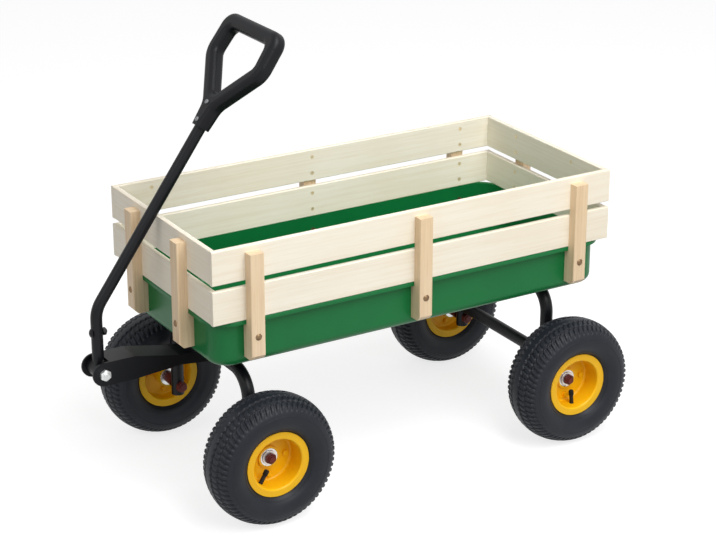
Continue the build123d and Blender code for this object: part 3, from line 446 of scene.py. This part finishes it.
# %% Tread
LUGS, STEPS_PER_LUG = 66, 8
TREAD_DEPTH, SLOT_SHARE = 2.8 * MM, 0.8
GROOVE_PLACES, GROOVE_HALF, ZIGZAG = (10 * MM, 27 * MM), 1.7 * MM, 2 * MM
GROOVE_INNER, GROOVE_OUTER = 0.5 * MM, 0.7 * MM
LUG_SLANT = 40 * MM  # over this distance across the crown a slot moves on by one lug
SLOT_WALL, SLOT_START, SLOT_END = (0.12, 0.2), (9 * MM, 12 * MM), (26 * MM, 28 * MM)
GAP_WALL, GAP_START = (0.17, 0.25), (27 * MM, 30 * MM)
LUG_REACH, LUG_FADE = 52 * MM, 8 * MM


def ramp(value, low, high):
    """0 below low, 1 above high, and a smooth rise between."""
    share = min(max((value - low) / (high - low), 0), 1)
    return share * share * (3 - 2 * share)


def groove(distance, half_width):
    """1 in the middle of a groove and 0 outside it, with sloping walls."""
    return 1 - ramp(abs(distance), half_width - GROOVE_INNER, half_width + GROOVE_OUTER)


def off_middle(turn):
    """How far a turn is from the middle of its lug, from 0 to a half."""
    return abs(turn % 1 - 0.5)


def tread_cut(across, turn):
    """How deep the tread is cut, across from the middle of the crown and at a turn counted in lugs."""
    reach = abs(across)
    zigzag = ZIGZAG * (off_middle(turn + (0.5 if across < 0 else 0)) * 4 - 1)
    grooves = max(groove(reach - place - zigzag, GROOVE_HALF) for place in GROOVE_PLACES)
    slanted = turn + reach / LUG_SLANT
    slot = (1 - ramp(off_middle(slanted), *SLOT_WALL)) * ramp(reach, *SLOT_START)
    slot *= 1 - ramp(reach, *SLOT_END)
    gap = (1 - ramp(off_middle(slanted + 0.5), *GAP_WALL)) * ramp(reach, *GAP_START)
    fade = 1 - ramp(reach, LUG_REACH - LUG_FADE, LUG_REACH)
    return TREAD_DEPTH * max(grooves, SLOT_SHARE * slot, gap) * fade


lug_length = 2 * pi * TYRE_RADIUS / LUGS
print("tread", round(TREAD_DEPTH / MM, 1), "mm deep, a lug each", round(lug_length / MM, 1), "mm")

# %% [markdown]
# Now the section goes round the axle in small steps, and at each step the points near the crown move
# inwards, square to the section, by the depth of the tread there. The four wheels are alike, so one set
# of rings makes all four tyres, and each is put at the middle of the CAD tyre that it stands for.

# %% Tyres
def section_point(index, turn):
    """A point of the section at a turn counted in lugs, with the tread cut into it."""
    radius, y = tyre_section[index]
    if index >= len(outer_loop) or abs(across_marks[index]) > LUG_REACH:
        return radius, y
    depth = tread_cut(across_marks[index], turn)
    before, after = outer_loop[index - 1], outer_loop[index + 1]
    run = hypot(after[0] - before[0], after[1] - before[1])
    inward = ((after[1] - before[1]) / run, (before[0] - after[0]) / run)
    return radius + depth * inward[0], y + depth * inward[1]


tyre_steps = LUGS * STEPS_PER_LUG
tyre_rings = []
for step in range(tyre_steps):
    angle = 2 * pi * step / tyre_steps
    ring = []
    for index in range(len(tyre_section)):
        radius, y = section_point(index, step / STEPS_PER_LUG)
        ring.append((radius * cos(angle), y, radius * sin(angle)))
    tyre_rings.append(ring)

WHEELS = ("front_left", "front_right", "rear_left", "rear_right")
wheel_centres = {}
for wheel in WHEELS:
    low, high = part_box(f"{wheel}_tyre")
    wheel_centres[wheel] = (low + high) / 2
    piece = skin(f"{wheel}_tyre_tread", tyre_rings, tyre_rubber, f"{wheel}_wheel",
                 wheel_centres[wheel])
    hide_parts(f"{wheel}_tyre")
print("tyres", len(wheel_centres), "of", tyre_steps, "steps")

# %% [markdown]
# Nuts and bolts. A real nut is a hexagon whose corners are turned off by a cone, so each flat ends in a
# curve. A six-sided cylinder would miss those curves. Here a ring of points goes round the fastener: at
# each angle the section reaches out to the hexagon, and its upper and lower corners are cut back to a
# circle. A lock nut has a round collar above its hexagon. A bolt's section also runs down the shank,
# where small steps stand for the thread. The section starts just off the axis, like the centre mark that
# the lathe leaves.

# %% Helpers for fasteners
FASTENER_STEPS = 72
SIXTH_TURN = pi / 3
CORNER_CUT = 0.98
CONE = tan(radians(30))
CENTRE_MARK = 0.4 * MM
COLLAR_SHARE = 0.84
THREAD_ROOT, THREAD_CREST = 0.2, 0.7  # shares of the pitch
fastener_angles = [2 * pi * step / FASTENER_STEPS for step in range(FASTENER_STEPS)]


def hexagon_rings(across_flats, height, bore, collar=0.0, below=()):
    """Rings of a hexagon on the XY plane; below is a section that goes on under it, from the axis out."""
    turned = CORNER_CUT * across_flats / 2
    top = height - collar
    rings = []
    for angle in fastener_angles:
        reach = across_flats / 2 / cos((angle + SIXTH_TURN / 2) % SIXTH_TURN - SIXTH_TURN / 2)
        cut = (reach - turned) * CONE
        section = list(below) or [(bore, 0)]
        section += [(turned, 0), (reach, cut), (reach, top - cut), (turned, top)]
        if collar:
            inner, edge = COLLAR_SHARE * turned, collar / 3
            section += [(inner, top), (inner, height - edge), (inner - edge, height)]
        section.append((bore, height))
        rings.append([(r * cos(angle), r * sin(angle), z) for r, z in section])
    return rings


def turned_rings(section):
    """Rings of a section of radius and height, turned round the Z axis."""
    return [[(r * cos(angle), r * sin(angle), z) for r, z in section] for angle in fastener_angles]


def bolt_section(shank_radius, length, threaded, pitch):
    """The part of a bolt's section under its head, from the axis at the tip up to the head."""
    root_radius = shank_radius - pitch / 2
    points = [(CENTRE_MARK, -length), (root_radius, -length)]
    turns = int(threaded / pitch)
    for turn in range(turns):
        low = -length + turn * pitch
        points += [(root_radius, low + THREAD_ROOT * pitch), (shank_radius, low + THREAD_CREST * pitch)]
    points += [(shank_radius, -length + turns * pitch), (shank_radius, 0)]
    return points


print("fasteners in", FASTENER_STEPS, "steps")

# %% [markdown]
# Two bolts hold the handle. The pivot is a bright M12 bolt through the tongue's two cheeks, with a lock
# nut, so that it can be loose enough to turn. A black M8 bolt with a round head goes through the tube and
# the stem inside it. Both stand where the CAD bolts do, and their heads and nuts meet the outside of what
# they hold.

# %% Bolts of the handle
M12_FLATS, M12_HEIGHT, M12_RADIUS, M12_PITCH = 19.2 * MM, 9.6 * MM, 6 * MM, 1.75 * MM
M8_FLATS, M8_HEIGHT, M8_RADIUS, M8_PITCH = 12.8 * MM, 6.4 * MM, 4 * MM, 1.25 * MM
DOME_RADIUS, DOME_HEIGHT, DOME_STEPS = 8.8 * MM, 4 * MM, 8
BORE_FIT, LOCK_COLLAR, BOLT_TIP = 0.1 * MM, 2.6 * MM, 2 * MM
PIVOT_THREAD, STEM_THREAD = 20 * MM, 14 * MM
TONGUE_HALF, HANDLE_RADIUS = 27 * MM, 11 * MM

pivot_low, pivot_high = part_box("pivot_bolt")
pivot_place = (pivot_low + pivot_high) / 2
pivot_length = 2 * TONGUE_HALF + M12_HEIGHT + BOLT_TIP
pivot_head = Vector((pivot_place.x, -TONGUE_HALF, pivot_place.z))
pivot_shank = bolt_section(M12_RADIUS, pivot_length, PIVOT_THREAD, M12_PITCH)
pivot_rings = hexagon_rings(M12_FLATS, M12_HEIGHT, CENTRE_MARK, below=pivot_shank)
pivot_bolt = skin("handle_pivot_bolt", pivot_rings, zinc, "steering", pivot_head, (0, -1, 0))
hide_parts("pivot_bolt")
m12_lock_nut = hexagon_rings(M12_FLATS, M12_HEIGHT, M12_RADIUS + BORE_FIT, collar=LOCK_COLLAR)
pivot_nut_place = Vector((pivot_place.x, TONGUE_HALF, pivot_place.z))
skin("handle_pivot_nut", m12_lock_nut, zinc, "steering", pivot_nut_place, (0, 1, 0))

stem_low, stem_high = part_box("stem_bolt")
stem_place = (stem_low + stem_high) / 2
stem_length = 2 * HANDLE_RADIUS + M8_HEIGHT + BOLT_TIP
stem_section = bolt_section(M8_RADIUS, stem_length, STEM_THREAD, M8_PITCH)
dome_bend = (DOME_RADIUS ** 2 + DOME_HEIGHT ** 2) / (2 * DOME_HEIGHT)
dome_sweep = asin(DOME_RADIUS / dome_bend)
for step in range(DOME_STEPS):
    angle = dome_sweep * (1 - step / DOME_STEPS)
    stem_section.append((dome_bend * sin(angle), DOME_HEIGHT - dome_bend * (1 - cos(angle))))
stem_section.append((CENTRE_MARK, DOME_HEIGHT))
stem_head = Vector((pivot_place.x + HANDLE_RADIUS, 0, stem_place.z))
stem_bolt = skin("handle_stem_bolt", turned_rings(stem_section), black_coat, "handle",
                 stem_head, (1, 0, 0))
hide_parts("stem_bolt")
m8_nut = hexagon_rings(M8_FLATS, M8_HEIGHT, M8_RADIUS + BORE_FIT)
stem_nut_place = Vector((pivot_place.x - HANDLE_RADIUS, 0, stem_place.z))
skin("handle_stem_nut", m8_nut, black_coat, "handle", stem_nut_place, (-1, 0, 0))
print("pivot bolt", round(pivot_length / MM, 1), "mm, stem bolt", round(stem_length / MM, 1), "mm")

# %% [markdown]
# Each stub axle ends in a lock nut over a plain washer, and a second nut holds it inside the leg. The
# nuts are dipped in the same red-brown paint as the axle, while the washer and the bearing behind it stay
# bright, so from the side the hub is a bright ring with a dark middle. A bearing is a turned ring whose
# two shields lie a little below its races, and the same helpers make all of these from the distances
# along the axle.

# %% Axle nuts, washers and bearings
WASHER_FACE, NUT_FACE, LEG_INSIDE = 225.3 * MM, 227.9 * MM, 137.5 * MM
WASHER_RADIUS, WASHER_THICKNESS, WASHER_EDGE = 14 * MM, 2.5 * MM, 0.4 * MM
BEARING_RADIUS, BEARING_BORE, BEARING_WIDTH, BEARING_EDGE = 17.5 * MM, 7.55 * MM, 11 * MM, 0.4 * MM
BEARING_OUTSIDES = (225 * MM, 201 * MM)
SHIELD_OUTER, SHIELD_INNER, SHIELD_DEPTH = 15.2 * MM, 10.2 * MM, 0.7 * MM
SIDES = {"left": 1, "right": -1}

washer_bore = M12_RADIUS + BORE_FIT
washer_rings = turned_rings([
    (washer_bore, 0), (WASHER_RADIUS, 0), (WASHER_RADIUS, WASHER_THICKNESS - WASHER_EDGE),
    (WASHER_RADIUS - WASHER_EDGE, WASHER_THICKNESS), (washer_bore, WASHER_THICKNESS),
])
bearing_rings = turned_rings([
    (BEARING_BORE, 0), (SHIELD_INNER, 0), (SHIELD_INNER, SHIELD_DEPTH), (SHIELD_OUTER, SHIELD_DEPTH),
    (SHIELD_OUTER, 0), (BEARING_RADIUS - BEARING_EDGE, 0), (BEARING_RADIUS, BEARING_EDGE),
    (BEARING_RADIUS, BEARING_WIDTH - BEARING_EDGE), (BEARING_RADIUS - BEARING_EDGE, BEARING_WIDTH),
    (SHIELD_OUTER, BEARING_WIDTH), (SHIELD_OUTER, BEARING_WIDTH - SHIELD_DEPTH),
    (SHIELD_INNER, BEARING_WIDTH - SHIELD_DEPTH), (SHIELD_INNER, BEARING_WIDTH),
    (BEARING_BORE, BEARING_WIDTH),
])
m12_nut = hexagon_rings(M12_FLATS, M12_HEIGHT, M12_RADIUS + BORE_FIT)


def on_axle(wheel, distance):
    """The point of a wheel's axle at a distance from the middle of the wagon."""
    centre = wheel_centres[wheel]
    return Vector((centre.x, SIDES[wheel.split("_")[1]] * distance, centre.z))


for wheel in WHEELS:
    axle, side = wheel.split("_")
    outward, inward = Vector((0, SIDES[side], 0)), Vector((0, -SIDES[side], 0))
    carrier = "steering" if axle == "front" else "chassis"
    outer_nut = skin(f"{wheel}_axle_nut", m12_lock_nut, red_paint, carrier,
                     on_axle(wheel, NUT_FACE), outward)
    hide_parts(f"{axle}_axle_nuts")
    skin(f"{wheel}_axle_washer", washer_rings, zinc, carrier,
         on_axle(wheel, WASHER_FACE), outward)
    skin(f"{wheel}_axle_inner_nut", m12_nut, red_paint, carrier,
         on_axle(wheel, LEG_INSIDE), inward)
    for number, face in enumerate(BEARING_OUTSIDES):
        bearing = skin(f"{wheel}_bearing_{number}", bearing_rings, bearing_steel,
                       f"{wheel}_wheel", on_axle(wheel, face), inward)
        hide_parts(f"{wheel}_bearings")
print("axle nuts, washers and bearings on", len(WHEELS), "wheels")

# %% [markdown]
# A plastic cap covers the tip of each valve stem, and has ribs that fingers can hold. They could be cut
# one by one, but here the cap is a turned shape whose radius ripples on its way round, so the ribs are
# part of it.

# %% Valve caps
CAP_RIBS, CAP_STEPS = 14, 84
CAP_RADIUS, CAP_RIB, CAP_LENGTH, CAP_DOME = 4.7 * MM, 0.35 * MM, 11 * MM, 1.2 * MM
RIB_START = 1.5 * CAP_DOME
VALVE_OFFSET, VALVE_TIP = 12 * MM, 22 * MM
VALVE_ANGLES = {"front_left": -58.0, "front_right": 130.0, "rear_left": -95.0, "rear_right": 40.0}

cap_rings = []
for step in range(CAP_STEPS):
    angle = 2 * pi * step / CAP_STEPS
    ribbed = CAP_RADIUS + CAP_RIB * cos(CAP_RIBS * angle)
    section = [(CENTRE_MARK, 0), (CAP_RADIUS - CAP_DOME, 0), (CAP_RADIUS - CAP_RIB, CAP_DOME),
               (ribbed, RIB_START), (ribbed, CAP_LENGTH - CAP_DOME), (CAP_RADIUS - CAP_RIB, CAP_LENGTH),
               (CENTRE_MARK, CAP_LENGTH)]
    cap_rings.append([(r * cos(angle), r * sin(angle), z) for r, z in section])
for wheel in WHEELS:
    angle = radians(VALVE_ANGLES[wheel])
    way = Vector((cos(angle), 0, sin(angle)))
    beside = Vector((0, SIDES[wheel.split("_")[1]] * VALVE_OFFSET, 0))
    tip = wheel_centres[wheel] + beside + way * (VALVE_TIP - CAP_DOME)
    skin(f"{wheel}_valve_cap", cap_rings, grip_plastic, f"{wheel}_wheel", tip, way)
print("valve caps on", len(WHEELS), "wheels")

# %% [markdown]
# Where tubes and plates are welded, a rippled bead runs round the seam under the coating. The bead is a
# round skin along the seam's path, and its thickness swells and shrinks as the welder's hand moved on.
# The rear crossbar meets its legs in a saddle, because both tubes are round. The tongue's cheeks meet the
# front arch in a circle, and there the bead thins out at the top, where the turntable plate leaves it no
# room.

# %% Weld beads
TUBE_RADIUS, LEG_PLACE = 12.5 * MM, 150 * MM
BEAD_SIZE, BEAD_RIPPLE, RIPPLES = 2.4 * MM, 0.14, 26
THIN_SHARE, THIN_START, THIN_END = 0.85, 0.6, 0.95
PATH_STEPS, BEAD_SIDES = 104, 10
path_angles = [2 * pi * i / PATH_STEPS for i in range(PATH_STEPS)]
bead_angles = [2 * pi * j / BEAD_SIDES for j in range(BEAD_SIDES)]


def weld(name, path, sizes, body):
    """A rippled bead round a closed path of points, with a size for each point."""
    rings = []
    count = len(path)
    middle = sum(path, Vector()) / count
    for i, point in enumerate(path):
        ahead = (path[(i + 1) % count] - path[i - 1]).normalized()
        side = ahead.cross(point - middle).normalized()
        up = side.cross(ahead)
        size = sizes[i] * (1 + BEAD_RIPPLE * sin(2 * pi * RIPPLES * i / count))
        rings.append([point + side * (size * cos(a)) + up * (size * sin(a)) for a in bead_angles])
    skin(name, rings, black_coat, body)


crossbar_low, crossbar_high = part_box("rear_axle_crossbar")
crossbar_mid = (crossbar_low + crossbar_high) / 2
for side_name, out in SIDES.items():
    saddle = []
    for angle in path_angles:
        x, z = TUBE_RADIUS * cos(angle), TUBE_RADIUS * sin(angle)
        depth = sqrt(max(TUBE_RADIUS ** 2 - x * x, 0))
        saddle.append(Vector((crossbar_mid.x + x, out * (LEG_PLACE - depth), crossbar_mid.z + z)))
    weld(f"crossbar_weld_{side_name}", saddle, [BEAD_SIZE] * PATH_STEPS, "chassis")

arch_low, arch_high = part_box("front_axle_arch")
arch_x, arch_z = (arch_low.x + arch_high.x) / 2, arch_high.z - TUBE_RADIUS
for side_name, out in SIDES.items():
    seam, sizes = [], []
    for angle in path_angles:
        x, z = TUBE_RADIUS * cos(angle), TUBE_RADIUS * sin(angle)
        seam.append(Vector((arch_x + x, out * TONGUE_HALF, arch_z + z)))
        sizes.append(BEAD_SIZE * (1 - THIN_SHARE * ramp(sin(angle), THIN_START, THIN_END)))
    weld(f"tongue_weld_{side_name}", seam, sizes, "steering")
print("weld beads at x", round(crossbar_mid.x, 4), "and", round(arch_x, 4))

# %% [markdown]
# The floor is a plain sheet of paper. More light would make it white, but would bleach the wagon as well.
# So the paper is grey where light falls on it, and glows a little for the camera and in reflections. Then
# it shows white, and it still takes the wagon's shadow.

# %% Floor
FLOOR_SIZE, FLOOR_GLOW = 30.0, 0.75
WHITE = (1, 1, 1, 1)
floor_mesh = bpy.data.meshes.new("floor")
half_floor = FLOOR_SIZE / 2
floor_corners = [(half_floor * x, half_floor * y, 0) for x, y in ((-1, -1), (1, -1), (1, 1), (-1, 1))]
floor_mesh.from_pydata(floor_corners, [], [(0, 1, 2, 3)])
floor_object = bpy.data.objects.new("floor", floor_mesh)
scene.collection.objects.link(floor_object)

floor_finish, floor_tree, floor_shader = start_material("white_paper_floor", {
    "Base Color": linear("B4B4B4"), "Roughness": 0.9, "Specular IOR Level": 0.0,
})
floor_rays = add(floor_tree, "ShaderNodeLightPath")
seen = add(floor_tree, "ShaderNodeMath", {
    0: floor_rays.outputs["Is Camera Ray"], 1: floor_rays.outputs["Is Glossy Ray"],
}, operation="MAXIMUM")
glow = add(floor_tree, "ShaderNodeMath", {0: seen.outputs["Value"], 1: FLOOR_GLOW}, operation="MULTIPLY")
floor_tree.links.new(glow.outputs["Value"], floor_shader.inputs["Emission Strength"])
floor_shader.inputs["Emission Color"].default_value = WHITE
floor_mesh.materials.append(floor_finish)
print("floor", FLOOR_SIZE, "m wide")

# %% [markdown]
# The light is soft, as in a studio: a pale world all round and three large lamps. The strongest stands
# off the wagon's left side, one hangs over the bed, because the first would leave its inside dark, and a
# weak one stands ahead of the wagon. The world shows full white to the camera and in reflections, and
# lights the wagon with about a third of that.

# %% Light
WORLD_LIGHT, WORLD_SEEN = 0.36, 1.0
world = bpy.data.worlds.new("studio")
world.use_nodes = True
scene.world = world
world_tree = world.node_tree
world_rays = add(world_tree, "ShaderNodeLightPath")
direct = add(world_tree, "ShaderNodeMath", {
    0: world_rays.outputs["Is Camera Ray"], 1: world_rays.outputs["Is Transmission Ray"],
}, operation="MAXIMUM")
mirror = add(world_tree, "ShaderNodeMath", {
    0: direct.outputs["Value"], 1: world_rays.outputs["Is Glossy Ray"],
}, operation="MAXIMUM")
level = add(world_tree, "ShaderNodeMapRange", {
    "Value": mirror.outputs["Value"], "To Min": WORLD_LIGHT, "To Max": WORLD_SEEN,
})
background = world_tree.nodes["Background"]
background.inputs["Color"].default_value = WHITE
world_tree.links.new(level.outputs["Result"], background.inputs["Strength"])


def lamp(name, place, aim, size, watts):
    """A square soft lamp at a place, aimed at a point."""
    data = bpy.data.lights.new(name, "AREA")
    data.shape = "SQUARE"
    data.size = size
    data.energy = watts
    made = bpy.data.objects.new(name, data)
    made.location = place
    made.rotation_euler = (Vector(aim) - Vector(place)).to_track_quat("-Z", "Y").to_euler()
    scene.collection.objects.link(made)
    return made


key = lamp("key_lamp", place=(-0.1, 3.3, 3.0), aim=(0, 0, 0.4), size=2.4, watts=84)
top = lamp("top_lamp", place=(-0.3, 0.9, 2.4), aim=(-0.1, -0.2, 0.5), size=1.2, watts=32)
fill = lamp("fill_lamp", place=(3.2, 0.6, 2.2), aim=(0, 0, 0.4), size=2.0, watts=18)
print("lamps", key.name, top.name, fill.name)
